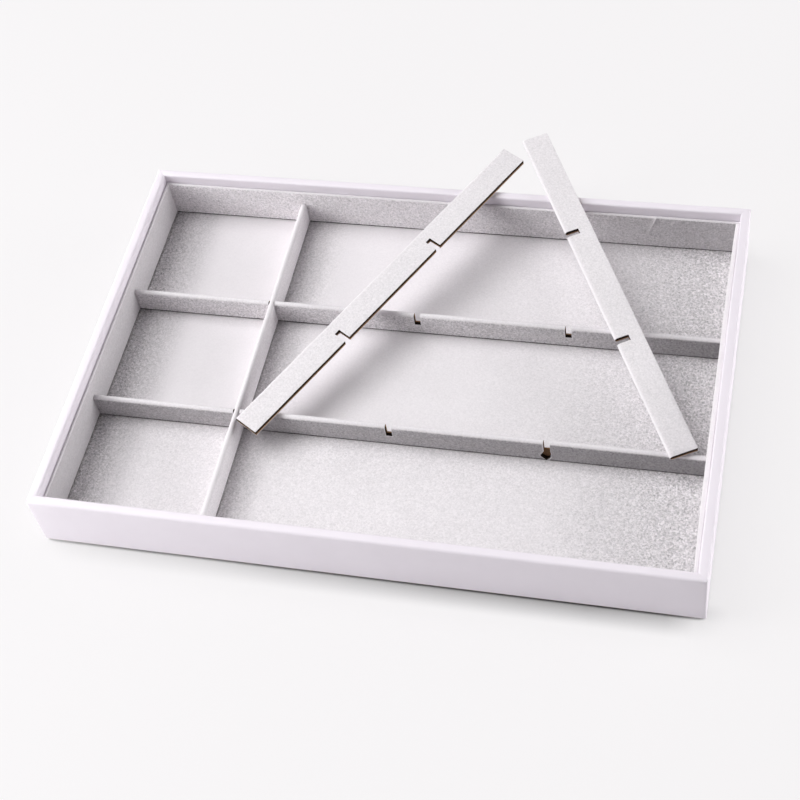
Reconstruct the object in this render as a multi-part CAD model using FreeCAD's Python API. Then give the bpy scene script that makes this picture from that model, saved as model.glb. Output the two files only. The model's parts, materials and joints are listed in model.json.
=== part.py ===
import FreeCAD, Part
import math
import os

os.makedirs("parts", exist_ok=True)

Vector = FreeCAD.Vector
Rotation = FreeCAD.Rotation
Placement = FreeCAD.Placement

# The tray's outside. X runs along its length, Y from front to back and Z up.
# The origin is the middle of its underside.
tray_length = 350.0
tray_width = 240.0
tray_height = 37.9
corner_radius = 1.6
rim_radius = 1.2

# Fibreboard of the tray
base_board_thickness = 3.4
wall_board_thickness = 4.5

# White sheet over the outside and the rim, turned in under the base and behind the lining
covering_thickness = 0.4
covering_turn_under = 14.0
covering_turn_inside = 16.0

# Grey card under the base, which the tray stands on. It is set in from the sides, which leaves a gap at
# the foot.
backing_edge_thickness = 1.5
backing_inset = 3.0

# Suede cloth, drawn over the floor's card, the wall linings and the dividers
suede_thickness = 0.25

# Floor pad
floor_board_thickness = 2.35
floor_clearance = 0.3

# Wall linings
liner_board_thickness = 1.1
liner_board_round = 0.45
liner_drop = 5.8
liner_turn_over = 7.0
liner_clearance = 0.2

# Divider strips, halved into each other where they cross
divider_core_thickness = 2.8
divider_core_round = 1.25
divider_height = 15.2
divider_end_clearance = 0.25
divider_foot_clearance = 0.2
halving_clearance = 0.15
column_count = 4
row_count = 3
row_shift = -1.0

# Torn foot of the front divider's last notch: how deep from its front face, and its outline across in half
# notch widths and down in shares of the height left
torn_foot_depth = 2.2
torn_foot_shares = (
    (1.0, -0.1), (1.07, 0.3), (0.9, 0.64), (0.35, 0.83), (-0.38, 0.89),
    (-1.43, 0.68), (-2.1, 0.37), (-1.5, 0.18), (-1.26, 0.06), (-1.0, -0.1),
)

# Two short strips that lie loose, from the front divider up over the back rim. Places are those of the
# covered edge's near corner: along X, and ahead of the front divider's front face.
lying_clearance = 0.25
left_strip_from_cross_divider = 0.3
left_strip_ahead = 5.0
right_strip_from_side = 19.3
right_strip_ahead = 2.6
left_strip_tuck = 2.8
strips_meet_share = 0.1234

# Cuts run this far past the faces that they open
overrun = 1.0

x_axis = Vector(1, 0, 0)
z_axis = Vector(0, 0, 1)
quarter_turn = 90

# Levels and clear sizes that follow from the values above
covering_bottom = backing_edge_thickness
base_bottom = covering_bottom + covering_thickness
base_top = base_bottom + base_board_thickness
floor_board_top = base_top + floor_board_thickness
floor_top = floor_board_top + suede_thickness
wall_thickness = wall_board_thickness + 2 * covering_thickness
pocket_length = tray_length - 2 * wall_thickness
pocket_width = tray_width - 2 * wall_thickness
between_boards_length = pocket_length + 2 * covering_thickness
between_boards_width = pocket_width + 2 * covering_thickness
liner_thickness = liner_board_thickness + 2 * suede_thickness
liner_height = tray_height - liner_drop - floor_top
inner_length = pocket_length - 2 * (liner_clearance + liner_thickness)
inner_width = pocket_width - 2 * (liner_clearance + liner_thickness)
divider_thickness = divider_core_thickness + 2 * suede_thickness
divider_bottom = floor_top + divider_foot_clearance
divider_top = divider_bottom + divider_height
long_divider_length = inner_length - 2 * divider_end_clearance
cross_divider_length = inner_width - 2 * divider_end_clearance


def equal_places(clear_size, count, shift):
    """Centres of the dividers that split a clear size into equal compartments, all moved by a shift."""
    pitch = (clear_size + divider_thickness) / count
    first = pitch - (clear_size + divider_thickness) / 2 + shift
    return [first + pitch * step for step in range(count - 1)]


column_places = equal_places(inner_length, column_count, 0)
row_places = equal_places(inner_width, row_count, row_shift)
half_notch_width = divider_thickness / 2 + halving_clearance
notch_floor = divider_height / 2 - halving_clearance
slot_top = divider_height / 2 + halving_clearance


def box_between(x_low, x_high, y_low, y_high, bottom, top):
    """Box given by its six sides."""
    corner = Vector(x_low, y_low, bottom)
    return Part.makeBox(x_high - x_low, y_high - y_low, top - bottom, corner)


def block(length, width, bottom, top):
    """Box centred on the Z axis."""
    return box_between(-length / 2, length / 2, -width / 2, width / 2, bottom, top)


def upright_edges(solid):
    """Edges that run along Z."""
    spans = [(edge, edge.BoundBox) for edge in solid.Edges]
    return [edge for edge, span in spans if span.ZLength > span.XLength + span.YLength]


def edges_at(solid, level):
    """Edges whose ends both lie at one level."""
    return [edge for edge in solid.Edges if all(math.isclose(end.Z, level) for end in edge.Vertexes)]


def save(node, solid):
    """Write one piece under its name."""
    solid.exportStep("parts/" + node + ".step")
    print(node, "solids", len(solid.Solids), "valid", solid.isValid(), "volume", round(solid.Volume))


def tray_form(skin):
    """Walls and base in one, drawn in by a skin on every face but the pocket's floor."""
    top = tray_height - skin
    outside = block(tray_length - 2 * skin, tray_width - 2 * skin, covering_bottom + skin, top)
    outside = outside.makeFillet(corner_radius - skin, upright_edges(outside))
    pocket = block(pocket_length + 2 * skin, pocket_width + 2 * skin, base_top, top + overrun)
    form = outside.cut(pocket)
    return form.makeFillet(rim_radius - skin, edges_at(form, top))


def make_tray_boards(boards):
    """Part the board form into the base and four walls, the side walls standing between the long ones."""
    half_length = tray_length / 2
    half_width = tray_width / 2
    half_between_length = between_boards_length / 2
    half_between_width = between_boards_width / 2
    long_way = (-half_length, half_length)
    short_way = (-half_between_width, half_between_width)
    upright = (base_top, tray_height)
    rooms = {
        "base_board": (*long_way, -half_width, half_width, base_bottom, base_top),
        "front_wall_board": (*long_way, -half_width, -half_between_width, *upright),
        "back_wall_board": (*long_way, half_between_width, half_width, *upright),
        "left_wall_board": (-half_length, -half_between_length, *short_way, *upright),
        "right_wall_board": (half_between_length, half_length, *short_way, *upright),
    }
    for node, room in rooms.items():
        save(node, boards.common(box_between(*room)))


def make_covering(boards):
    """White sheet: the tray's form less its boards, open under the base and behind the linings."""
    window = block(
        tray_length - 2 * covering_turn_under,
        tray_width - 2 * covering_turn_under,
        covering_bottom,
        base_bottom,
    )
    turn_in_end = tray_height - covering_turn_inside
    behind_lining = block(between_boards_length, between_boards_width, base_top, turn_in_end)
    save("white_covering", tray_form(0).cut([boards, window, behind_lining]))
    edge = block(tray_length - 2 * backing_inset, tray_width - 2 * backing_inset, 0, covering_bottom)
    save("backing_sheet", edge.fuse(window).removeSplitter())


def make_floor():
    """Card pad with suede over its top and down its sides."""
    length = pocket_length - 2 * floor_clearance
    width = pocket_width - 2 * floor_clearance
    card = block(length - 2 * suede_thickness, width - 2 * suede_thickness, base_top, floor_board_top)
    save("floor_board", card)
    save("floor_suede", block(length, width, base_top, floor_top).cut(card))


def standing_strip(length, thickness, height, top_round):
    """Strip along X that stands at Z = 0, with both long top edges rounded."""
    strip = block(length, thickness, 0, height)
    long_edges = [edge for edge in edges_at(strip, height) if edge.BoundBox.XLength > edge.BoundBox.YLength]
    return strip.makeFillet(top_round, long_edges)


def covered_strip(length, board_thickness, height, board_round):
    """Board and the suede sleeve over its faces and top edge. The bottom edge and the ends stay raw."""
    board = standing_strip(length, board_thickness, height - suede_thickness, board_round)
    whole_thickness = board_thickness + 2 * suede_thickness
    whole = standing_strip(length, whole_thickness, height, board_round + suede_thickness)
    return board, whole.cut(board)


def placed(solid, turn, place):
    """Copy of a solid, turned about Z and set down at a place."""
    copy = solid.copy()
    copy.Placement = Placement(place, Rotation(z_axis, turn))
    return copy


def make_liners():
    """Wall linings that stand on the floor pad, their suede turned over the top and partly down the back."""
    across = (inner_width + liner_thickness) / 2
    along = (inner_length + liner_thickness) / 2
    long_liner_length = pocket_length - 2 * liner_clearance
    sides = {
        "back": (long_liner_length, 0, Vector(0, across, floor_top)),
        "left": (inner_width, quarter_turn, Vector(-along, 0, floor_top)),
        "front": (long_liner_length, 2 * quarter_turn, Vector(0, -across, floor_top)),
        "right": (inner_width, 3 * quarter_turn, Vector(along, 0, floor_top)),
    }
    for side, (length, turn, place) in sides.items():
        board, sleeve = covered_strip(length, liner_board_thickness, liner_height, liner_board_round)
        bare_back = box_between(
            -length / 2 - overrun,
            length / 2 + overrun,
            liner_board_thickness / 2,
            liner_thickness / 2 + overrun,
            -overrun,
            liner_height - liner_turn_over,
        )
        save(side + "_liner_board", placed(board, turn, place))
        save(side + "_liner_suede", placed(sleeve.cut(bare_back), turn, place))


def halved_strip(length, places, notch_bottom, notch_top):
    """Divider strip with a halving notch at each place, cut through board and sleeve alike."""
    pieces = covered_strip(length, divider_core_thickness, divider_height, divider_core_round)
    through = (-divider_thickness, divider_thickness, notch_bottom, notch_top)
    notches = [box_between(place - half_notch_width, place + half_notch_width, *through) for place in places]
    return [piece.cut(notches) for piece in pieces]


def long_strip():
    """Full-length divider, notched from above down to half its height."""
    return halved_strip(long_divider_length, column_places, notch_floor, divider_height + overrun)


def short_strip():
    """Divider that runs from front to back, slotted from its raw edge up to half its height."""
    return halved_strip(cross_divider_length, row_places, -overrun, slot_top)


def short_strip_notched_above():
    """Divider of the same length, turned end for end and notched from its covered edge instead."""
    turned_places = [-place for place in row_places]
    return halved_strip(cross_divider_length, turned_places, notch_floor, divider_height + overrun)


def torn_foot(place):
    """Ragged hole below a notch, torn into the strip's front face."""
    outline = [
        Vector(place + across * half_notch_width, -divider_thickness, notch_floor - down * notch_floor)
        for across, down in torn_foot_shares
    ]
    outline.append(outline[0])
    return Part.Face(Part.makePolygon(outline)).extrude(Vector(0, divider_thickness / 2 + torn_foot_depth, 0))


def make_fitted_dividers():
    """The two long dividers, with one torn notch in front, and the short strip that stands in them."""
    front_strip = [piece.cut(torn_foot(column_places[-1])) for piece in long_strip()]
    short_place = Vector(column_places[0], 0, divider_bottom)
    strips = {
        "long_divider_front": (front_strip, 0, Vector(0, row_places[0], divider_bottom)),
        "long_divider_back": (long_strip(), 0, Vector(0, row_places[-1], divider_bottom)),
        "cross_divider": (short_strip(), quarter_turn, short_place),
    }
    for name, ((core, suede), turn, place) in strips.items():
        save(name + "_core", placed(core, turn, place))
        save(name + "_suede", placed(suede, turn, place))


def turn_to_reach(reach, across):
    """Turn that brings a short strip's far corner, so far across from its covered edge, a given way along X."""
    diagonal = math.hypot(cross_divider_length, across)
    corner = math.degrees(math.atan2(across, cross_divider_length))
    return math.degrees(math.acos(reach / diagonal)) + corner


def lay(name, pieces, start, turn, lean):
    """Lay a short strip on the slope by its covered edge's near corner, with its raw edge on the right."""
    near_end = Vector(cross_divider_length / 2, -divider_height, divider_thickness / 2)
    flat = Placement(near_end, Rotation(x_axis, -quarter_turn))
    turned = Placement(start, Rotation(z_axis, turn))
    rim_edge = Vector(0, pocket_width / 2, tray_height + lying_clearance)
    leaned = Placement(rim_edge, Rotation(x_axis, lean))
    for kind, solid in zip(("core", "suede"), pieces):
        solid.Placement = leaned.multiply(turned).multiply(flat)
        save("loose_divider_" + name + "_" + kind, solid)
    print("loose strip", name, "turned", round(turn, 2), "leaned", round(lean, 2))


def make_loose_dividers():
    """Two short strips lying from the front divider over the back rim, their far ends side by side."""
    rest_y = row_places[0] - divider_thickness / 2
    rise = tray_height - divider_top
    run = pocket_width / 2 - rest_y
    lean = math.degrees(math.atan2(rise, run))
    slope = math.hypot(rise, run)
    meet_x = strips_meet_share * inner_length

    cross_face = column_places[0] + divider_thickness / 2
    start = Vector(cross_face + left_strip_from_cross_divider, -slope - left_strip_ahead, 0)
    turn = turn_to_reach(meet_x + left_strip_tuck - start.x, divider_height)
    lay("left", short_strip(), start, turn, lean)

    start = Vector(inner_length / 2 - right_strip_from_side, -slope - right_strip_ahead, 0)
    turn = turn_to_reach(meet_x - start.x, 0)
    lay("right", short_strip_notched_above(), start, turn, lean)


tray_boards = tray_form(covering_thickness)
make_tray_boards(tray_boards)
make_covering(tray_boards)
make_floor()
make_liners()
make_fitted_dividers()
make_loose_dividers()
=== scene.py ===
# %% [markdown]
# # A divided jewelry tray
# The tray is a shallow board box in a white leatherette skin. A grey suede lining covers its floor and
# walls, and slotted dividers in the same suede stand in it. Two more dividers lie across it, as if someone
# had just lifted them out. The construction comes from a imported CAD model, so the sizes and places of all
# pieces are read from that model, and this script only adds what Blender is good at: soft cloth edges,
# finishes, light and a camera. All lengths are in metres.

import json
import math

import bmesh
import bpy
from mathutils import Matrix, Quaternion, Vector, noise

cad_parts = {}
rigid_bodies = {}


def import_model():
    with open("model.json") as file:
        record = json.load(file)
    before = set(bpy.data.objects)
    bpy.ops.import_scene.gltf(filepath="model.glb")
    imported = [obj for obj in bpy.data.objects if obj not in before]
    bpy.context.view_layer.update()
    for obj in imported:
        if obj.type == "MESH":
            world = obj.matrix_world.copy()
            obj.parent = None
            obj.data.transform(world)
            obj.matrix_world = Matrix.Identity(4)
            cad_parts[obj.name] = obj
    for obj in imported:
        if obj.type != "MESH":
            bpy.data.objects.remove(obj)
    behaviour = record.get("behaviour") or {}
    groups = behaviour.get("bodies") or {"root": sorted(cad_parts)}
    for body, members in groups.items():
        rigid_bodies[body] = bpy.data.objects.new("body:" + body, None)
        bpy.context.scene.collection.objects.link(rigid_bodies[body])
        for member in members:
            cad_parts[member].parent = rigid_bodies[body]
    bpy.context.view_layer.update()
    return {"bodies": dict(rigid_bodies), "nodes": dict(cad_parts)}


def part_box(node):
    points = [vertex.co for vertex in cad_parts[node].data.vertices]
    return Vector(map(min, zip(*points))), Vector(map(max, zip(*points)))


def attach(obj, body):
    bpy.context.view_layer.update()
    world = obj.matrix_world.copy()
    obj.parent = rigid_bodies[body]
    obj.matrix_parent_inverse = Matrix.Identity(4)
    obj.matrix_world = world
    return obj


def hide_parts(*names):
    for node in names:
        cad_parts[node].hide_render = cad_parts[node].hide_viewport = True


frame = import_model()

# %% [markdown]
# ## Camera
# The view is from the front right, well above the tray, with the camera rolled a little. It could be set by
# eye, but a tray is a box, so the corners of its rim and foot fix the place, the roll and the lens exactly.
# The numbers below are that solution: where the lens was, the point that it looked at, and the focal length
# in pixels of a square picture. Blender wants the focal length on its own sensor, so one line converts it.

# %% Camera
picture_side = 800
focal_length_in_pixels = 1627.05
eye = Vector((0.19594, -0.51083, 0.71769))
aim = Vector((-0.00309, -0.00705, 0.0019))
roll = math.radians(-11.953)
scene = bpy.context.scene


def link(name, data):
    """Put a new object in the scene."""
    thing = bpy.data.objects.new(name, data)
    scene.collection.objects.link(thing)
    return thing


camera = link("camera", bpy.data.cameras.new("camera"))
camera.data.lens = focal_length_in_pixels / picture_side * camera.data.sensor_width
camera.location = eye
camera.rotation_mode = "QUATERNION"
camera.rotation_quaternion = (aim - eye).to_track_quat("-Z", "Y") @ Quaternion((0, 0, 1), roll)
scene.camera = camera
print("lens", round(camera.data.lens, 2), "mm, eye to aim", round((aim - eye).length, 3), "m")

# %% [markdown]
# ## Light
# The tray stands on a white sweep under soft studio light. The shadows tell where the light is. The left
# wall and the cross divider shade the floor to their right over a few centimetres, so the main light is
# large and high on the left. The upright faces inside that look at the viewer are bright at their left ends
# and fade to the right, so a small light stands near on the left. The front of the tray gets a low one,
# which the rim keeps out of the inside. The faces that look right are as pale as the rim, while the floor
# beside them is in shade, so the light on the right is wide and low: two lamps side by side, with a weak one
# above. Each lamp is given by its direction, its distance and its level, where 1 makes a facing white sheet
# white, because levels can be compared and watts can't.

# %% Light
scene.view_settings.view_transform = "Standard"


def softbox(name, azimuth, elevation, distance, size, level):
    """Square area light that faces the tray. Azimuth 0 stands on the right and 90 at the back."""
    turn = math.radians(azimuth)
    rise = math.radians(elevation)
    way = Vector((math.cos(rise) * math.cos(turn), math.cos(rise) * math.sin(turn), math.sin(rise)))
    lamp = bpy.data.lights.new(name, "AREA")
    lamp.size = size
    # A facing white sheet at this distance looks white when the power is pi times the distance, squared.
    lamp.energy = level * (math.pi * distance) ** 2
    thing = link(name, lamp)
    thing.location = way * distance
    thing.rotation_mode = "QUATERNION"
    thing.rotation_quaternion = (-way).to_track_quat("-Z", "Y")
    print(name, "at", [round(value, 2) for value in thing.location], "power", round(lamp.energy, 1), "W")


softbox("high_left_light", azimuth=171, elevation=55, distance=4.5, size=3.3, level=0.89)
softbox("near_left_light", azimuth=199, elevation=29, distance=1.1, size=0.52, level=0.47)
softbox("low_front_light", azimuth=222, elevation=11, distance=0.8, size=0.2, level=0.21)
softbox("low_right_light", azimuth=20, elevation=9, distance=2.2, size=1.4, level=0.6)
softbox("low_near_right_light", azimuth=355, elevation=8, distance=2.2, size=1.4, level=0.4)
softbox("high_right_light", azimuth=30, elevation=38, distance=2.2, size=1.1, level=0.1)

# %% [markdown]
# A dim surround fills what the lamps leave. Rays that come straight from the camera, or by way of gloss, see
# it as pale, so low views have a pale horizon and no extra light falls on the tray. Nodes could be wired one
# line at a time, but a small helper that takes each socket's value or link by name keeps that readable.

# %% Surround
surround_level = 0.02
surround_colour = (0.95, 0.94, 0.95, 1)


def plug(tree, node, sockets):
    """Give a node's sockets their values or links."""
    for name, value in sockets.items():
        if isinstance(value, bpy.types.NodeSocket):
            tree.links.new(value, node.inputs[name])
        else:
            node.inputs[name].default_value = value


def add_node(tree, kind, sockets, **settings):
    """Node of a kind, with its settings and the values or links of its sockets."""
    node = tree.nodes.new(kind)
    for name, value in settings.items():
        setattr(node, name, value)
    plug(tree, node, sockets)
    return node


def add_math(tree, operation, first, second):
    """Sum, product or the like of two values."""
    return add_node(tree, "ShaderNodeMath", {0: first, 1: second}, operation=operation).outputs[0]


def add_range(tree, value, measured=(0, 1), wanted=(0, 1)):
    """A value stretched from one range to another, and held inside it."""
    limits = dict(zip(("From Min", "From Max", "To Min", "To Max"), (*measured, *wanted)))
    return add_node(tree, "ShaderNodeMapRange", {"Value": value, **limits}).outputs["Result"]


def seen_by_eye(tree):
    """1 for rays that the camera sends, straight or by way of gloss or glass, and 0 for rays of light."""
    ray = add_node(tree, "ShaderNodeLightPath", {}).outputs
    mirrored = add_math(tree, "MAXIMUM", ray["Is Glossy Ray"], ray["Is Transmission Ray"])
    return add_math(tree, "MAXIMUM", ray["Is Camera Ray"], mirrored)


def make_surround():
    """World that is pale to the eye and in reflections, and dim as a light."""
    world = bpy.data.worlds.new("surround")
    world.use_nodes = True
    tree = world.node_tree
    strength = add_range(tree, seen_by_eye(tree), wanted=(surround_level, 1))
    plug(tree, tree.nodes["Background"], {"Color": surround_colour, "Strength": strength})
    return world


scene.world = make_surround()
print("surround", scene.world.name, "lights at", surround_level)

# %% [markdown]
# ## Finishes
# Each finish is a node material on Object coordinates. All pieces sit at the origin with their place in
# their mesh, so Object coordinates are metres on the real tray, and a noise scale of 600 has grains of a
# little under 2 mm. More small helpers keep the node code short: noise, colours along a value or along the
# tray, one colour over another, and relief.

# %% Helpers for finishes
neutral = (1, 1, 1)


def new_finish(name):
    """Empty node material with its shader."""
    finish = bpy.data.materials.new(name)
    finish.use_nodes = True
    return finish, finish.node_tree, finish.node_tree.nodes["Principled BSDF"]


def object_place(tree):
    """Metres on the object."""
    return add_node(tree, "ShaderNodeTexCoord", {}).outputs["Object"]


def coordinate(tree, place, axis):
    """One coordinate of a place: 0 along the tray, 1 across it, 2 up."""
    return add_node(tree, "ShaderNodeSeparateXYZ", {"Vector": place}).outputs[axis]


def add_noise(tree, place, scale, detail=2, roughness=0.5, distortion=0):
    """Cloudy grey noise, its grains about one over the scale in metres."""
    sockets = {"Vector": place, "Scale": scale, "Detail": detail}
    sockets |= {"Roughness": roughness, "Distortion": distortion}
    return add_node(tree, "ShaderNodeTexNoise", sockets).outputs["Fac"]


def tint(level, hue=neutral):
    """A hue at a level."""
    return tuple(level * part for part in hue)


def add_ramp(tree, value, stops):
    """Colours along a value from 0 to 1."""
    ramp = add_node(tree, "ShaderNodeValToRGB", {"Fac": value})
    elements = ramp.color_ramp.elements
    while len(elements) < len(stops):
        elements.new(0.5)
    for element, (position, colour) in zip(elements, stops):
        element.position = position
        element.color = (*colour, 1)
    return ramp.outputs["Color"]


def add_levels(tree, value, stops, hue=neutral):
    """Levels of one hue along a value from 0 to 1."""
    return add_ramp(tree, value, [(position, tint(level, hue)) for position, level in stops])


def over_floor(tree, place, axis, stops, hue=neutral):
    """Levels over the tray's floor, which starts at 0 on the left or in front and ends at 1."""
    low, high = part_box("floor_suede")
    share = add_range(tree, coordinate(tree, place, axis), measured=(low[axis], high[axis]))
    return add_levels(tree, share, stops, hue)


def add_blend(tree, mode, amount, below, above):
    """One colour blended over another."""
    sockets = {"Factor": amount, "A": below, "B": above}
    return add_node(tree, "ShaderNodeMix", sockets, data_type="RGBA", blend_type=mode).outputs["Result"]


def add_bump(tree, height, depth, strength, under=None):
    """Relief of a depth in metres, laid over another relief if one is given."""
    sockets = {"Height": height, "Distance": depth, "Strength": strength}
    if under:
        sockets["Normal"] = under
    return add_node(tree, "ShaderNodeBump", sockets).outputs["Normal"]


# %% [markdown]
# ### White sweep
# The tray stands on matt white paper. A sheet that is bright enough to look white would swallow the tray's
# pale rim, and one that takes the full shadow would look grey beside it. So the paper glows, for the eye
# alone, as the surround does: it stays pale, keeps a soft shadow, and throws no extra light on the tray.
# Close to the tray's foot the glow fades, by ambient occlusion over about a centimetre, and in the gap below
# the foot it is almost gone: painted shade on the glow. So the tray stands on the paper and doesn't float.
# The lights on both sides reach under the foot there, so the painted shade is set deep along the front
# alone, by place: it grows from left to right, and ends at the right corner.

# %% White sweep
sweep_size = 12.0
sweep_drop = 0.0002
paper_tones = [(0.3, (0.905, 0.892, 0.90)), (0.7, (0.915, 0.902, 0.91))]
glow_colour = (0.918, 0.902, 0.911, 1)
glow_share = 0.85
foot_shade_reach = 0.012
shade_in_air = [(0.42, 0.7), (0.54, 0.6), (0.8, 0.31), (1, 0)]
gap_in_air = [(0.42, 1), (0.5, 0)]
gap_power = 0.22
front_alone = [(0, 1), (0.02, 0)]
shade_beside = 0.06
shade_along = [
    (0, 0.05), (0.07, 0.2), (0.15, 0.3), (0.26, 0.4), (0.38, 0.6), (0.62, 0.88), (0.85, 1), (0.96, 0.8),
    (1, 0.25),
]


def glow_strength(tree, place):
    """How much of the glow is left near the tray's foot and in the gap below it: painted shade, by occlusion
    and place.
    """
    reach = {"Distance": foot_shade_reach}
    air = add_node(tree, "ShaderNodeAmbientOcclusion", reach, samples=16).outputs["AO"]
    in_front = over_floor(tree, place, 1, front_alone)
    along = over_floor(tree, place, 0, shade_along)
    depth = add_blend(tree, "MIX", in_front, (*tint(shade_beside), 1), along)
    near = add_math(tree, "MULTIPLY", add_levels(tree, air, shade_in_air), depth)
    gap_depth = add_math(tree, "POWER", depth, gap_power)
    below = add_math(tree, "MULTIPLY", add_levels(tree, air, gap_in_air), gap_depth)
    return add_math(tree, "SUBTRACT", 1, add_math(tree, "MAXIMUM", near, below))


def make_sweep_finish():
    """Matt white paper that glows for the eye."""
    finish, tree, shader = new_finish("sweep_paper")
    place = object_place(tree)
    paper = add_ramp(tree, add_noise(tree, place, scale=3), paper_tones)
    plug(tree, shader, {"Base Color": paper, "Roughness": 1, "Specular IOR Level": 0})
    share = add_math(tree, "MULTIPLY", seen_by_eye(tree), glow_share)
    glow = add_node(
        tree, "ShaderNodeEmission", {"Color": glow_colour, "Strength": glow_strength(tree, place)}
    )
    layers = {0: share, 1: shader.outputs["BSDF"], 2: glow.outputs["Emission"]}
    both = add_node(tree, "ShaderNodeMixShader", layers).outputs["Shader"]
    plug(tree, tree.nodes["Material Output"], {"Surface": both})
    return finish


def make_sweep():
    """Sheet of paper under the tray, well past every edge of the picture."""
    bm = bmesh.new()
    bmesh.ops.create_grid(bm, x_segments=2, y_segments=2, size=sweep_size / 2)
    bmesh.ops.translate(bm, vec=(0, 0, -sweep_drop), verts=bm.verts)
    mesh = bpy.data.meshes.new("sweep")
    bm.to_mesh(mesh)
    bm.free()
    mesh.materials.append(make_sweep_finish())
    link("sweep", mesh)
    print("sweep", sweep_size, "m wide, faces", len(mesh.polygons))


make_sweep()

# %% [markdown]
# ### Grey suede
# The lining is a thin microsuede: a very short nap, pressed into small worm-like grains, that scatters light
# like velvet. Three noises make it. A distorted one of about 1 mm is the grain, a finer one the single
# fibres, and a slow one the patches where the nap has been brushed another way. The first two also drive the
# relief, and a little sheen lifts the edges that the eye meets at a slant.
#
# How light the cloth looks is partly painted. The floor and the lying strips keep the plain level of the
# open nap. The upright pieces get their own copies of the finish, most of them darker, more on some strips
# than on others and more towards the right: painted shade, where less light reaches them. Round the top edge
# and along the creases the colour goes back to the open nap as a painted highlight, and at the cut edges it
# goes pale for the cut cloth and for a painted highlight. A point attribute, 1 along those edges and 0
# elsewhere, tells the finish where to go pale and smooth.
#
# The grains don't stand out everywhere alike. Their contrast, with the slight darkening that comes with it,
# is painted strongest where the tray lies in shade: beside the left wall and the cross divider, towards the
# right, in the front compartments, and on the walls and strips that look forward. The middle of the floor,
# in full light, is left almost smooth. On the floor two lists of stops, one from the left wall to the right
# one and one from front to back, set how far they stand out, and on each other piece one number does.

# %% Suede finish
suede_hue = (1, 0.96, 0.99)
open_nap = 0.82
grain_at_highlight_and_cut_edge = 0.2
grain_levels = [(0.25, 0.42), (0.75, 1.44)]
fibre_levels = [(0.25, 0.97), (0.75, 1)]
brushed_levels = [(0.3, 0.965), (0.7, 1)]
# Grain strength along and across the floor, painted after where the shade falls.
grain_in_shade_along = [
    (0, 1), (0.1, 0.06), (0.24, 0.05), (0.255, 0.6), (0.34, 0.06), (0.6, 0.12), (0.74, 0.22), (0.85, 0.5),
    (0.95, 0.9), (1, 1),
]
grain_in_shade_across = [(0, 0.24), (0.2, 0.24), (0.32, 0.34), (0.34, 0), (0.6, 0), (0.66, 0.16), (0.68, 0)]


def floor_grain_in_shade(tree, place):
    """How far the grains of the floor stand out: painted strongest where the floor lies in shade."""
    along = over_floor(tree, place, 0, grain_in_shade_along)
    across = over_floor(tree, place, 1, grain_in_shade_across)
    return add_math(tree, "MAXIMUM", along, across)


def make_suede(name, levels, roughened=None, axis=0):
    """Light grey microsuede. The levels are its colour away from the marked edges, at even steps from the
    left wall to the right one, or from the front to the back along axis 1; on the upright pieces they are
    painted shade. The grains stand out as far as roughened says, from 0 to 1, or as the floor's stops do."""
    finish, tree, shader = new_finish(name)
    place = object_place(tree)
    if roughened is None:
        roughened = floor_grain_in_shade(tree, place)
    grain = add_noise(tree, place, scale=950, detail=2, roughness=0.5, distortion=0.8)
    fibres = add_noise(tree, place, scale=3600, detail=2, roughness=0.6)
    patches = add_noise(tree, place, scale=38, detail=3, roughness=0.55)
    fold = add_node(tree, "ShaderNodeAttribute", {}, attribute_name="fold").outputs["Fac"]
    steps = len(levels) - 1
    stops = [(index / steps, level) for index, level in enumerate(levels)]
    # Levels along the tray: on the upright pieces these are painted shade.
    flat = over_floor(tree, place, axis, stops, suede_hue)
    # Where the edge mark is 1 the colour goes back to the open nap: a painted highlight, and on cut edges
    # also the pale cut cloth.
    colour = add_blend(tree, "MIX", fold, flat, (*tint(open_nap, suede_hue), 1))
    off_highlight_and_cut_edge = add_range(tree, fold, wanted=(1, grain_at_highlight_and_cut_edge))
    roughened = add_math(tree, "MULTIPLY", roughened, off_highlight_and_cut_edge)
    colour = add_blend(tree, "MULTIPLY", roughened, colour, add_levels(tree, grain, grain_levels))
    colour = add_blend(tree, "MULTIPLY", 1, colour, add_levels(tree, fibres, fibre_levels))
    colour = add_blend(tree, "MULTIPLY", 1, colour, add_levels(tree, patches, brushed_levels))
    relief = add_bump(tree, grain, depth=0.0009, strength=roughened)
    relief = add_bump(tree, fibres, depth=0.0001, strength=0.4, under=relief)
    plug(tree, shader, {"Base Color": colour, "Normal": relief})
    plug(tree, shader, {"Roughness": 0.93, "Specular IOR Level": 0.15})
    plug(tree, shader, {"Sheen Weight": 0.1, "Sheen Roughness": 0.45})
    return finish


# %% [markdown]
# The floor and the loose strips show the open nap. The levels of the upright pieces are painted shade: the
# back wall is palest on the left and darker to the right, and the long dividers are darker, the front one
# most.

# %% Suede of each piece
floor_suede = make_suede("grey_suede_floor", (open_nap, open_nap))
loose_suede = make_suede("grey_suede_loose_dividers", (open_nap, open_nap), roughened=0.22)
# Each piece gets its own copy of the suede. On the upright pieces the levels are painted shade.
shaded_lining_suedes = {
    "back": make_suede("grey_suede_back_lining", (0.9, 0.915, 0.82, 0.71, 0.6), roughened=0.6),
    "left": make_suede("grey_suede_left_lining", (0.55, 0.635, 0.645), roughened=0.2, axis=1),
    "front": make_suede("grey_suede_front_lining", (0.72, 0.72), roughened=0.32),
    "right": make_suede("grey_suede_right_lining", (0.62, 0.62), roughened=0.32),
}
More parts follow.
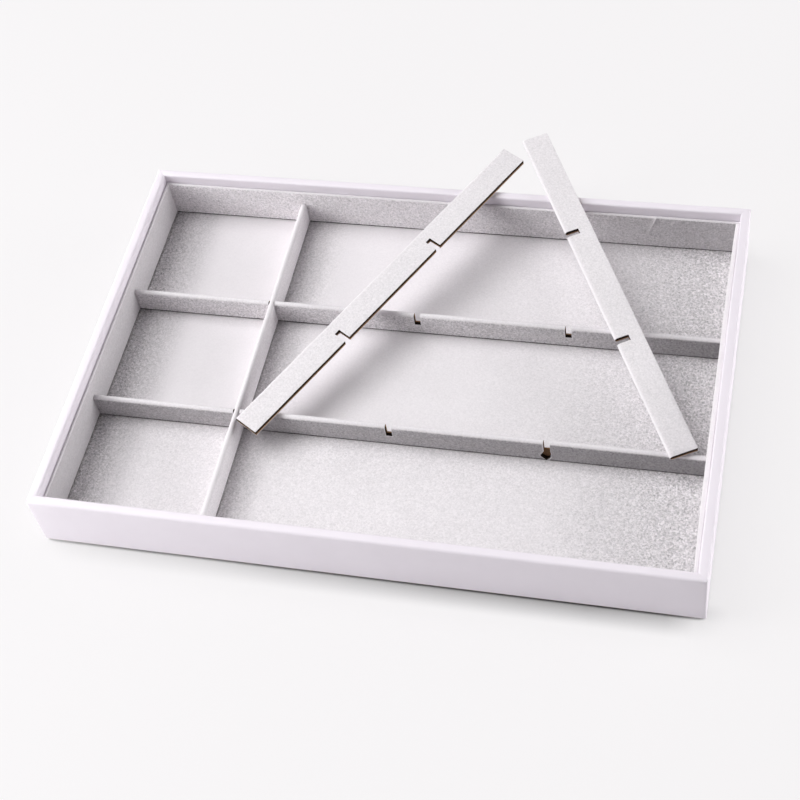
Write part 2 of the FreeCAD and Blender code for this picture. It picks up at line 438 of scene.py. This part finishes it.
# Painted shade along each long divider, darkest at its right end.
front_divider_shade_levels = (0.55, 0.5, 0.485, 0.42, 0.355)
back_divider_shade_levels = (0.8, 0.76, 0.76, 0.63, 0.335)
shaded_strip_suedes = {
    "cross_divider": make_suede("grey_suede_cross_divider", (0.85, 0.85), roughened=0.26),
    "long_divider_back": make_suede("grey_suede_back_divider", back_divider_shade_levels, roughened=0.7),
    "long_divider_front": make_suede("grey_suede_front_divider", front_divider_shade_levels, roughened=0.66),
}
print("suedes", 2 + len(shaded_lining_suedes) + len(shaded_strip_suedes))

# %% [markdown]
# ### White leatherette
# The skin is a smooth coated paper with a faint lilac cast. Its grain is too fine to see from a step away,
# so it is a shallow cell pattern that only breaks up the gloss, and the gloss itself wanders a little, as on
# a sheet that was rubbed down by hand.

# %% Leatherette finish
white_tones = [(0.3, (0.825, 0.775, 0.836)), (0.7, (0.843, 0.793, 0.854))]
gloss_range = (0.42, 0.56)


def make_leatherette():
    """Satin white coated sheet with a fine cell grain."""
    finish, tree, shader = new_finish("white_leatherette")
    place = object_place(tree)
    white = add_ramp(tree, add_noise(tree, place, scale=55, detail=3), white_tones)
    gloss = add_range(tree, add_noise(tree, place, scale=140, detail=2), wanted=gloss_range)
    cells = add_node(tree, "ShaderNodeTexVoronoi", {"Vector": place, "Scale": 1500}).outputs["Distance"]
    relief = add_bump(tree, cells, depth=0.00006, strength=0.12)
    plug(tree, shader, {"Base Color": white, "Normal": relief})
    plug(tree, shader, {"Roughness": gloss, "Specular IOR Level": 0.35})
    return finish


leatherette = make_leatherette()
print(leatherette.name, "nodes", len(leatherette.node_tree.nodes))

# %% [markdown]
# ### Raw card
# The dividers' boards are pressed from dark brown pulp, with a paler ply of kraft paper on one side. Where
# they are cut, at the long raw edge, the ends and the notches, the plies show as fine lines along the strip.
# So the noise is drawn out along the strip, in the strip's own axes: a Mapping node of the Texture kind
# takes the strip's place and turns metres on the tray into metres on the strip. The same axes tell where the
# kraft ply begins.

# %% Card finish
ply_stretch = (0.12, 1, 0.3)
pulp_browns = [(0.3, (0.016, 0.01, 0.0075)), (0.72, (0.055, 0.034, 0.024))]
kraft_brown = (0.42, 0.24, 0.125, 1)
kraft_blend = 0.0002
fleck_levels = [(0.3, 0.6), (0.75, 1)]


def make_card(name, place_matrix, kraft_start):
    """Dark brown pressed card whose plies follow a strip's own axes: X along it, Y through it, Z up."""
    finish, tree, shader = new_finish(name)
    strip_axes = {
        "Vector": object_place(tree),
        "Location": place_matrix.translation,
        "Rotation": place_matrix.to_euler(),
    }
    place = add_node(tree, "ShaderNodeMapping", strip_axes, vector_type="TEXTURE").outputs["Vector"]
    drawn_out = add_node(tree, "ShaderNodeMapping", {"Vector": place, "Scale": ply_stretch}).outputs["Vector"]
    plies = add_noise(tree, drawn_out, scale=2600, detail=3, roughness=0.6)
    pulp = add_noise(tree, place, scale=900, detail=4, roughness=0.65)
    brown = add_ramp(tree, plies, pulp_browns)
    depth = coordinate(tree, place, 1)
    kraft = add_range(tree, depth, measured=(kraft_start, kraft_start + kraft_blend))
    cut = add_blend(tree, "MIX", kraft, brown, kraft_brown)
    colour = add_blend(tree, "MULTIPLY", 1, cut, add_levels(tree, pulp, fleck_levels))
    relief = add_bump(tree, plies, depth=0.0002, strength=0.5)
    relief = add_bump(tree, pulp, depth=0.0003, strength=0.4, under=relief)
    plug(tree, shader, {"Base Color": colour, "Normal": relief})
    plug(tree, shader, {"Roughness": 0.95, "Specular IOR Level": 0.15})
    return finish


# %% [markdown]
# ### Boards and backing
# The box itself is fibreboard, sealed in by the skin, and the underside has a backing sheet of grey paper.
# Both get a plain fibre finish, so that the model is whole from below and when someone takes it apart.

# %% Fibreboard and backing finishes
def make_fibre(name, dark, light, scale, depth):
    """Matted fibres between two tones."""
    finish, tree, shader = new_finish(name)
    fibres = add_noise(tree, object_place(tree), scale=scale, detail=5, roughness=0.7, distortion=0.6)
    colour = add_ramp(tree, fibres, [(0.3, dark), (0.7, light)])
    relief = add_bump(tree, fibres, depth=depth, strength=0.3)
    plug(tree, shader, {"Base Color": colour, "Normal": relief})
    plug(tree, shader, {"Roughness": 0.9, "Specular IOR Level": 0.2})
    return finish


fibreboard = make_fibre("fibreboard", (0.30, 0.20, 0.12), (0.42, 0.29, 0.18), scale=700, depth=0.0002)
backing_paper = make_fibre("backing_paper", (0.50, 0.48, 0.49), (0.56, 0.54, 0.55), scale=420, depth=0.0001)
print("finishes", len(bpy.data.materials))

# %% [markdown]
# ## Helpers for pieces
# Every new piece is a bmesh that ends up in the same few steps: it becomes a mesh at the origin, gets its
# finish and smooth shading with crisp edges, rides on a body and hides the CAD solid that it stands for.

# %% Finish a piece
crisp_angle = math.radians(40)


def make_piece(bm, name, body, finish, replaced):
    """Turn a bmesh into a piece that rides on a body in place of a CAD node."""
    mesh = bpy.data.meshes.new(name)
    bm.to_mesh(mesh)
    bm.free()
    mesh.materials.append(finish)
    mesh.shade_smooth()
    mesh.set_sharp_from_angle(angle=crisp_angle)
    piece = link(name, mesh)
    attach(piece, body)
    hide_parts(replaced)
    print(name, "faces", len(mesh.polygons))
    return piece


# %% [markdown]
# Cloth and leatherette are shaped by cutting a plain sheet along planes, so that it has points where it has
# to bend, and then moving points. A bisect keeps both sides of the cut, and it can be held to a few faces.
# Sharp edges are rounded by bevels. No sheet is ever dead flat, so a slow noise moves its points a little
# along their normals.

# %% Cut, round and soften
weld = 0.00001


def whole(bm):
    """Everything in a bmesh."""
    return bm.verts[:] + bm.edges[:] + bm.faces[:]


def parts_of(faces):
    """Faces with their edges and points."""
    edges = {edge for face in faces for edge in face.edges}
    verts = {vert for face in faces for vert in face.verts}
    return [*verts, *edges, *faces]


def points_among(parts):
    """The points among what an operator made."""
    return [part for part in parts if isinstance(part, bmesh.types.BMVert)]


def cut_plane(bm, parts, place, way):
    """Cut parts of a mesh along the plane through a place that looks a given way."""
    bmesh.ops.bisect_plane(bm, geom=parts, dist=weld, plane_co=place, plane_no=way)


def slice_along(bm, axis, low, high, step):
    """Cut the whole mesh across an axis at even steps, so that it can bend there."""
    count = round((high - low) / step)
    for index in range(1, count):
        cut_plane(bm, whole(bm), Vector(axis) * (low + (high - low) * index / count), axis)


def sharp_edges(edges, angle=crisp_angle):
    """Those edges where two faces meet at more than an angle."""
    return [edge for edge in edges if len(edge.link_faces) == 2 and edge.calc_face_angle() > angle]


def round_edges(bm, edges, radius, segments):
    """Round off edges."""
    bmesh.ops.bevel(
        bm,
        geom=edges,
        offset=radius,
        affect="EDGES",
        segments=segments,
        profile=0.5,
        material=-1,
        clamp_overlap=True,
    )


def soften(bm, depth, ripple, drift):
    """Move every point along its normal by slow noise: depth at most, ripple wide."""
    bm.normal_update()
    moves = [vert.normal * depth * noise.noise(vert.co / ripple + drift) for vert in bm.verts]
    for vert, move in zip(bm.verts, moves):
        vert.co += move


# %% [markdown]
# ## White skin
# One sheet covers the outside, goes over the rim and down behind the lining, and turns in under the base. It
# starts as a cube of the skin's outer size. Insetting the top and pushing the inner face down makes the rim
# and the inner band, the same below makes the turn-in, and bevels round the corners and the rim. At each rim
# corner the sheet is mitred: a cut along the diagonal, drawn in by a hair, leaves the fine crease that shows
# on the real corner.

# %% Hollows and creases of the skin
rim_radius = 0.0012
crease_width = 0.0005
crease_depth = 0.00016


def face_towards(bm, way):
    """Face that looks a given way."""
    return max(bm.faces, key=lambda face: face.normal.dot(way))


def hollow(bm, way, border, depth):
    """Inset the face on one side, push it in, and open it."""
    face = face_towards(bm, Vector(way))
    bmesh.ops.inset_region(bm, faces=[face], thickness=border, use_even_offset=True)
    if depth:
        face = bmesh.ops.extrude_discrete_faces(bm, faces=[face])["faces"][0]
        bmesh.ops.translate(bm, vec=Vector(way) * -depth, verts=face.verts)
    bmesh.ops.delete(bm, geom=[face], context="FACES")


def edges_at(bm, level):
    """Edges that lie flat at one level."""
    return [edge for edge in bm.edges if all(abs(vert.co.z - level) < weld for vert in edge.verts)]


def crease_corners(bm, outer, border):
    """Draw the sheet in along the diagonal of each rim corner."""
    for x_side, y_side in ((1, 1), (1, -1), (-1, 1), (-1, -1)):
        corner = Vector((x_side * outer.x, y_side * outer.y, outer.z))
        across = Vector((x_side, -y_side, 0)).normalized()
        for step in (-1, 0, 1):
            near = [face for face in bm.faces if (face.calc_center_median() - corner).length < 3 * border]
            cut_plane(bm, parts_of(near), corner + across * step * crease_width, across)
        for vert in bm.verts:
            ray = vert.co - corner
            on_rim = ray.length < 2 * border and vert.co.z > outer.z - rim_radius
            if on_rim and abs(ray.dot(across)) < weld:
                vert.co.z -= crease_depth


# %% [markdown]
# The skin's thickness is how far it stands out below the base board. It is given last, inwards, so that the
# outside keeps its size.

# %% White skin
corner_radius = 0.0016
foot_radius = 0.0004
turn_inside = 0.016
turn_under = 0.014
skin_step = 0.0125
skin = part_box("base_board")[0].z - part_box("white_covering")[0].z
print("skin", round(skin * 1000, 2), "mm thick")


def make_skin():
    """White sheet over the outside and the rim of the tray."""
    low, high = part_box("white_covering")
    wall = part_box("left_wall_board")[1].x + skin - low.x
    bm = bmesh.new()
    bmesh.ops.create_cube(bm, size=1)
    bmesh.ops.scale(bm, vec=high - low, verts=bm.verts)
    bmesh.ops.translate(bm, vec=(low + high) / 2, verts=bm.verts)
    hollow(bm, (0, 0, 1), wall, turn_inside)
    hollow(bm, (0, 0, -1), turn_under, 0)
    outer = [edge for edge in bm.edges if all(abs(vert.co.x) > high.x - weld for vert in edge.verts)]
    uprights = [edge for edge in outer if abs(edge.verts[0].co.y - edge.verts[1].co.y) < weld]
    round_edges(bm, uprights, corner_radius, segments=5)
    round_edges(bm, sharp_edges(edges_at(bm, high.z)), rim_radius, segments=5)
    round_edges(bm, sharp_edges(edges_at(bm, low.z)), foot_radius, segments=2)
    slice_along(bm, (1, 0, 0), low.x, high.x, skin_step)
    slice_along(bm, (0, 1, 0), low.y, high.y, skin_step)
    crease_corners(bm, high, wall)
    soften(bm, depth=0.00012, ripple=0.045, drift=Vector((3, 1, 7)))
    bmesh.ops.recalc_face_normals(bm, faces=bm.faces)
    bmesh.ops.solidify(bm, geom=bm.faces[:], thickness=skin)
    make_piece(bm, "white_skin", "tray", leatherette, "white_covering")


make_skin()

# %% [markdown]
# ## Suede floor
# The floor is a card pad with suede drawn over it and down its four sides. A grid gives the cloth enough
# points to be a little uneven, its border is pulled down over the pad's edge, the edge is rounded, and
# Solidify's bmesh twin gives the sheet its quarter of a millimetre.

# %% Suede floor
floor_unevenness = 0.00012
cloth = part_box("floor_suede")[1].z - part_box("floor_board")[1].z
print("cloth", round(cloth * 1000, 2), "mm thick")


def make_floor():
    """Suede over the floor pad."""
    low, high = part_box("floor_suede")
    size = high - low
    bm = bmesh.new()
    bmesh.ops.create_grid(bm, x_segments=84, y_segments=56, size=0.5)
    bmesh.ops.scale(bm, vec=size, verts=bm.verts)
    bmesh.ops.translate(bm, vec=((low.x + high.x) / 2, (low.y + high.y) / 2, high.z), verts=bm.verts)
    border = [edge for edge in bm.edges if edge.is_boundary]
    pulled = bmesh.ops.extrude_edge_only(bm, edges=border)["geom"]
    bmesh.ops.translate(bm, vec=(0, 0, -size.z), verts=points_among(pulled))
    bmesh.ops.recalc_face_normals(bm, faces=bm.faces)
    round_edges(bm, sharp_edges(bm.edges), cloth, segments=3)
    soften(bm, depth=floor_unevenness, ripple=0.03, drift=Vector((0, 5, 2)))
    bmesh.ops.translate(bm, vec=(0, 0, -floor_unevenness), verts=bm.verts)
    bmesh.ops.solidify(bm, geom=bm.faces[:], thickness=cloth)
    piece = make_piece(bm, "suede_floor", "tray", floor_suede, "floor_suede")


make_floor()

# %% [markdown]
# ## Suede sleeves
# Wall linings and dividers are the same thing at different sizes: a strip of card with suede drawn up one
# face, round the top edge and down the other face. The profile is drawn once and extruded along the strip: a
# leg, a quarter circle by spin, the flat top if there is one, a second quarter circle and a second leg.

# %% Sleeve form
sleeve_step = 0.004


def sleeve_form(length, thickness, height, back_height, front_radius, back_radius):
    """Sheet drawn up the front of a strip, round its top edge and down its back. X runs along the strip."""
    middle = thickness / 2
    start = -length / 2
    bm = bmesh.new()
    tip = bm.verts.new((start, -middle, 0))

    def draw_to(y, z):
        nonlocal tip
        tip = bmesh.ops.extrude_vert_indiv(bm, verts=[tip])["verts"][0]
        tip.co = (start, y, z)

    def turn_round(y, z):
        nonlocal tip
        turned = bmesh.ops.spin(
            bm, geom=[tip], cent=(start, y, z), axis=(1, 0, 0), angle=-math.pi / 2, steps=5
        )["geom_last"]
        tip = points_among(turned)[0]

    draw_to(-middle, height - front_radius)
    turn_round(front_radius - middle, height - front_radius)
    if front_radius + back_radius < thickness - weld:
        draw_to(middle - back_radius, height)
    turn_round(middle - back_radius, height - back_radius)
    draw_to(middle, height - back_height)
    legs = [edge for edge in bm.edges if edge.calc_length() > thickness]
    bmesh.ops.subdivide_edges(bm, edges=legs, cuts=5)
    drawn = bmesh.ops.extrude_edge_only(bm, edges=bm.edges[:])["geom"]
    bmesh.ops.translate(bm, vec=(length, 0, 0), verts=points_among(drawn))
    bmesh.ops.recalc_face_normals(bm, faces=bm.faces)
    # An open sheet has no inside, so its faces may come out turned: the front has to look forward.
    if face_towards(bm, Vector((0, -1, 0))).calc_center_median().y > 0:
        bmesh.ops.reverse_faces(bm, faces=bm.faces)
    slice_along(bm, (1, 0, 0), -length / 2, length / 2, sleeve_step)
    return bm


# %% [markdown]
# The dividers' notches go through card and cloth alike, so planes cut the cloth along the notch's sides and
# floor, and the faces between them are deleted. At the foot the cloth of the standing pieces is trimmed a
# little short, and the dark card shows below it as a thin line: partly the card's own dark edge, partly
# painted shade standing in for the shade at the foot. The edge mark for the finish is written here too: 1
# round the top edge and along the creases, where it paints a highlight, and on the edges of cuts, where it
# is the pale cut cloth and a painted highlight.

# %% Hem, notches and edge highlight
hem_rise_for_foot_shade = 0.0008
cut_fringe = 0.0006
top_highlight_share = 0.6


def from_0_to_1(share):
    """A share held between 0 and 1."""
    return min(max(share, 0), 1)


def raise_hem(bm, rise):
    """Trim the cloth short at its foot, so that the dark card shows there as a line of painted shade."""
    for vert in bm.verts:
        if vert.co.z < weld:
            vert.co.z = rise


def cut_notch(bm, low, high, bottom, top):
    """Open a notch right through the cloth, between two places along the strip and two heights."""
    for place in (low - cut_fringe, low, high, high + cut_fringe):
        cut_plane(bm, whole(bm), (place, 0, 0), (1, 0, 0))
    for level in (bottom, top):
        between = [face for face in bm.faces if low < face.calc_center_median().x < high]
        cut_plane(bm, parts_of(between), (0, 0, level), (0, 0, 1))
    middles = [(face, face.calc_center_median()) for face in bm.faces]
    gone = [face for face, at in middles if low < at.x < high and bottom < at.z < top]
    bmesh.ops.delete(bm, geom=gone, context="FACES")


def mark_highlight_and_cut_edge(bm, height, radius, opened):
    """Mark the points round the top edge of a sleeve, where a highlight is painted, and those that opened
    gives, from 0 to 1.
    """
    layer = bm.verts.layers.float.new("fold")
    for vert in bm.verts:
        share = (vert.co.z - height + radius) / (top_highlight_share * radius)
        vert[layer] = max(opened(vert.co), from_0_to_1(share))


# %% [markdown]
# ### Wall linings
# Each lining stands in front of a wall, with its suede face to the inside. On the right wall the cloth has
# come loose along the top and stands off the card in a soft roll, most in the middle. Near the right end of
# the back wall two fine creases slant down from the top: the sheet is cut along each line and on both sides
# of it, and the middle is lifted, most at the top.

# %% Loose top and creases
slack_height = 0.007
slack_at_ends = 0.4
pinch_width = 0.0007
pinch_lift = 0.0006


def loosen(bm, length, thickness, height, depth):
    """Let the front of the sleeve stand off its card along the top, most in the middle of its length."""
    for vert in bm.verts:
        rise = from_0_to_1((vert.co.z - height + slack_height) / slack_height)
        front = 0.5 - vert.co.y / thickness
        bow = 1 - (1 - slack_at_ends) * (2 * vert.co.x / length) ** 4
        # The last three factors ease the roll in and out.
        vert.co.y -= depth * bow * front * rise * rise * (3 - 2 * rise)


def crease_strength(point, height, lines):
    """How far the cloth is pinched up at a point of the front. Each line has its two ends, given by the
    place along the strip and the depth below its top, and its strength at the upper end."""
    for upper, lower, strength in lines:
        start = Vector((upper[0], height - upper[1]))
        line = Vector((lower[0], height - lower[1])) - start
        ray = Vector((point.x, point.z)) - start
        share = ray.dot(line) / line.length_squared
        aside = (ray - line * share).length
        if point.y < 0 and 0 <= share <= 1 and aside < pinch_width:
            return strength * (1 - share * share) * (1 - aside / pinch_width)
    return 0


def crease_front(bm, height, lines):
    """Lift the front of the sleeve along each crease."""
    for upper, lower, _ in lines:
        start = Vector((upper[0], 0, height - upper[1]))
        line = Vector((lower[0], 0, height - lower[1])) - start
        across = Vector((line.z, 0, -line.x)).normalized()
        reach = 2 * line.length
        for step in (-1, 0, 1):
            near = [face for face in bm.faces if abs(face.calc_center_median().x - start.x) < reach]
            cut_plane(bm, parts_of(near), start + across * step * pinch_width, across)
    for vert in bm.verts:
        vert.co.y -= pinch_lift * crease_strength(vert.co, height, lines)


# %% [markdown]
# The sheet is turned over the card's top and only a few millimetres down the back, where it is glued. Its
# top is round towards the tray and nearly square towards the wall that it is pressed against, except on the
# left, where a dark groove shows. One loop makes the four linings, each built along X and then turned to its
# wall.

# %% Wall linings
liner_turn_over = 0.007
liner_front_radius = 0.0009
liner_back_radius = 0.0004
groove_radius = {"left": 0.00065}
slack = {"right": 0.0012}
creases = {"back": [((0.1233, 0), (0.1185, 0.0155), 1), ((0.1339, 0.0012), (0.1312, 0.0085), 0.5)]}


def make_liner(side, quarter_turns):
    """Suede of one wall lining."""
    node = side + "_liner_suede"
    low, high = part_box(node)
    size = high - low
    length, thickness = (size.y, size.x) if quarter_turns % 2 else (size.x, size.y)
    back_radius = groove_radius.get(side, liner_back_radius)
    lines = creases.get(side, ())
    bm = sleeve_form(length, thickness, size.z, liner_turn_over, liner_front_radius, back_radius)
    raise_hem(bm, hem_rise_for_foot_shade)
    loosen(bm, length, thickness, size.z, slack.get(side, 0))
    crease_front(bm, size.z, lines)
    soften(bm, depth=0.00012, ripple=0.02, drift=Vector((quarter_turns, 4, 9)))
    bmesh.ops.solidify(bm, geom=bm.faces[:], thickness=cloth)
    # The creases also get the edge mark: a painted highlight along them.
    mark_highlight_and_cut_edge(bm, size.z, liner_front_radius, lambda point: crease_strength(point, size.z, lines))
    place = Matrix.Translation(((low.x + high.x) / 2, (low.y + high.y) / 2, low.z))
    turn = Matrix.Rotation(quarter_turns * math.pi / 2, 4, "Z")
    bmesh.ops.transform(bm, matrix=place @ turn, verts=bm.verts)
    piece = make_piece(bm, "suede_lining_" + side, "tray", shaded_lining_suedes[side], node)


for quarter_turns, side in enumerate(("back", "left", "front", "right")):
    make_liner(side, quarter_turns)

# %% [markdown]
# ### Dividers
# A divider may stand along the tray, across it, or lie at a slant, so its own axes are read from its card:
# the longest edge runs along it, the widest face looks through it, and the cloth stands proud of the card
# only at the covered edge, which is its upper side. The walls of its notches are the points that lie away
# from both ends.

# %% Read a divider's axes
end_margin = 0.001
flat_angle = math.radians(1)


class Strip:
    """A divider's own axes, sizes and notches, read from its card and its cloth."""

    def __init__(self, name):
        board = bmesh.new()
        board.from_mesh(frame["nodes"][name + "_core"].data)
        bmesh.ops.remove_doubles(board, verts=board.verts, dist=weld)
        bmesh.ops.dissolve_limit(board, angle_limit=flat_angle, verts=board.verts, edges=board.edges)
        longest = max(board.edges, key=lambda edge: edge.calc_length())
        along = (longest.verts[1].co - longest.verts[0].co).normalized()
        if max(along, key=abs) < 0:
            along = -along
        through = max(board.faces, key=lambda face: face.calc_area()).normal.copy()
        bare = [vert.co.copy() for vert in board.verts]
        board.free()
        covered = [vert.co for vert in frame["nodes"][name + "_suede"].data.vertices]
        up = along.cross(through)
        proud = max(point.dot(up) for point in covered) - max(point.dot(up) for point in bare)
        if proud < cloth / 2:
            through, up = -through, -up
        axes = Matrix((along, through, up)).transposed().to_4x4()
        turned = [axes.inverted() @ point for point in covered]
        spans = [(min(values), max(values)) for values in zip(*turned)]
        middle = [(low + high) / 2 for low, high in spans]
        self.name = name
        self.length, self.thickness, self.height = [high - low for low, high in spans]
        self.place = axes @ Matrix.Translation((middle[0], middle[1], spans[2][0]))
        self.read_notches([self.place.inverted() @ point for point in bare])

    def read_notches(self, points):
        """Notches open at the raw edge or at the covered one, and any torn foot below a notch."""
        away = [point for point in points if abs(point.x) < self.length / 2 - end_margin]
        open_below = min(point.z for point in away) < weld
        mouth_level = 0 if open_below else max(point.z for point in away)
        mouth = [point for point in away if abs(point.z - mouth_level) < weld]
        walls = sorted({round(point.x, 5) for point in mouth})
        self.notches = list(zip(walls[0::2], walls[1::2]))
        levels = [point.z for point in away for wall in walls if abs(point.x - wall) < 2 * weld]
        floor = max(levels) if open_below else min(levels)
        self.notch_span = (-end_margin, floor) if open_below else (floor, self.height + end_margin)
        below = [point for point in away if point.y < 0 and point.z < floor - end_margin / 2]
        self.torn = [] if open_below else below


strips = {name: Strip(name) for name in frame["bodies"] if name != "tray"}
for strip in strips.values():
    sizes = [round(size, 4) for size in (strip.length, strip.thickness, strip.height)]
    print(strip.name, sizes, "notches", len(strip.notches), "torn points", len(strip.torn))

# %% [markdown]
# One notch of the front divider has been torn out below, on its front face. The card has that hole already,
# so the cloth only follows it: the sheet gets a fine grid there, the faces inside the hole go, and the
# points around it are drawn to a ragged outline and curled outwards, as torn cloth does.

# %% Outline of the tear
tear_step = 0.0004
tear_raggedness = 0.16
tear_waves = 4


def bearing(ray):
    """Angle of a ray on the front face."""
    return math.atan2(ray.y, ray.x)


def tear_outline(strip):
    """Middle of the torn hole, and a function that gives its ragged radius at an angle."""
    hole = [Vector((point.x, point.z)) for point in strip.torn]
    middle = sum(hole, Vector((0, 0))) / len(hole)
    low, high = min(strip.notches, key=lambda walls: abs(sum(walls) / 2 - middle.x))
    mouth = strip.notch_span[0] + tear_step
    hole += [Vector((low, mouth)), Vector((high, mouth)), Vector(((low + high) / 2, mouth))]
    rays = [point - middle for point in hole]
    polar = sorted((bearing(ray), ray.length) for ray in rays)
    polar = [(polar[-1][0] - math.tau, polar[-1][1]), *polar, (polar[0][0] + math.tau, polar[0][1])]

    def radius(angle):
        for (before, near), (after, far) in zip(polar, polar[1:]):
            if before <= angle <= after:
                share = (angle - before) / max(after - before, weld)
                ragged = 1 + tear_raggedness * noise.noise(Vector((tear_waves * angle, 0, 0)))
                return (near + (far - near) * share) * ragged
        return 0

    return middle, radius


# %% [markdown]
# The grid has to reach a little past the outline on every side, so the outline is first looked at in steps
# right round the hole.

# %% Torn cloth
tear_reach = 0.0013
tear_curl = 0.00035
outline_steps = 36


def tear(bm, strip):
    """Tear the cloth of the front face away round the hole in the card."""
    middle, radius = tear_outline(strip)
    angles = [step * math.tau / outline_steps - math.pi for step in range(outline_steps)]
    reach = max(radius(angle) for angle in angles) + tear_reach
    wide = reach + sleeve_step
    steps = math.ceil(2 * reach / tear_step)
    for axis, centre in (((1, 0, 0), middle.x), ((0, 0, 1), middle.y)):
        for index in range(steps + 1):
            near = [face for face in bm.faces if abs(face.calc_center_median().x - middle.x) < wide]
            cut_plane(bm, parts_of(near), Vector(axis) * (centre - reach + index * tear_step), axis)

    def ray_to(point):
        return Vector((point.x, point.z)) - middle

    gone = []
    for face in bm.faces:
        at = face.calc_center_median()
        ray = ray_to(at)
        if at.y < 0 and ray.length < radius(bearing(ray)):
            gone.append(face)
    bmesh.ops.delete(bm, geom=gone, context="FACES")
    for vert in bm.verts:
        if vert.co.y > 0:
            continue
        ray = ray_to(vert.co)
        edge = radius(bearing(ray))
        if vert.is_boundary and abs(ray.length - edge) < 2 * tear_step and vert.co.z < strip.notch_span[0]:
            drawn = ray.normalized() * edge
            vert.co.x = middle.x + drawn.x
            vert.co.z = middle.y + drawn.y
        lift = max(0, 1 - abs(ray.length - edge) / tear_reach)
        if vert.co.z < strip.notch_span[0]:
            vert.co.y -= tear_curl * lift * lift


# %% [markdown]
# Now each divider's sleeve: form, notches, a slow unevenness, thickness and softly rounded cut edges, first
# in the strip's own axes and then moved to its place. The flat cut that the cloth was made from is as wide
# as both faces and the top edge together.

# %% Divider sleeves
cut_edge_radius = 0.00006
cut_edge_angle = math.radians(60)
at_cut = 0.0002


def opened_by_cuts(strip):
    """Function that is 1 for a point of the sleeve on the edge of a notch or of the torn hole, else 0."""
    bottom, top = strip.notch_span
    outline = tear_outline(strip) if strip.torn else None

    def opened(point):
        for low, high in strip.notches:
            if low - at_cut < point.x < high + at_cut and bottom - at_cut < point.z < top + at_cut:
                return 1
        if outline and point.y < 0:
            middle, radius = outline
            ray = Vector((point.x, point.z)) - middle
            return int(ray.length < radius(bearing(ray)) + at_cut)
        return 0

    return opened


def make_sleeve(strip, drift):
    """Suede sleeve of one divider."""
    radius = strip.thickness / 2
    hem = 0 if strip.name.startswith("loose") else hem_rise_for_foot_shade
    bm = sleeve_form(strip.length, strip.thickness, strip.height, strip.height, radius, radius)
    raise_hem(bm, hem)
    for low, high in strip.notches:
        cut_notch(bm, low, high, *strip.notch_span)
    soften(bm, depth=0.00009, ripple=0.018, drift=drift)
    if strip.torn:
        tear(bm, strip)
    bmesh.ops.solidify(bm, geom=bm.faces[:], thickness=cloth)
    bm.normal_update()
    round_edges(bm, sharp_edges(bm.edges, cut_edge_angle), cut_edge_radius, segments=2)
    # Edge mark: painted highlight round the top edge, and at the notches and the tear the pale cut cloth with
    # a painted highlight.
    mark_highlight_and_cut_edge(bm, strip.height, radius, opened_by_cuts(strip))
    bmesh.ops.transform(bm, matrix=strip.place, verts=bm.verts)
    finish = shaded_strip_suedes.get(strip.name, loose_suede)
    piece = make_piece(bm, "suede_" + strip.name, strip.name, finish, strip.name + "_suede")


for number, strip in enumerate(strips.values()):
    make_sleeve(strip, drift=Vector((number, 2 * number, 3)))

# %% [markdown]
# ## Finishes of the CAD pieces
# The boards and cards have their true shape already, so they stay and only change their finish. A divider's
# kraft ply takes the last third of its thickness. The pads under floor and linings have none, so theirs
# would start a metre away.

# %% Finishes of the CAD pieces
kraft_share = 0.35
no_kraft = 1
plain_card = make_card("pad_card", Matrix.Identity(4), no_kraft)
finishes = {"fibreboard": fibreboard, "backing_paper": backing_paper, "brown_card": plain_card}
for name, node in frame["nodes"].items():
    slot = node.material_slots[0]
    strip = strips.get(name.removesuffix("_core"))
    if strip:
        core_thickness = strip.thickness - 2 * cloth
        slot.material = make_card(name + "_card", strip.place, (0.5 - kraft_share) * core_thickness)
    elif slot.material.name in finishes:
        slot.material = finishes[slot.material.name]
print("materials", len(bpy.data.materials))
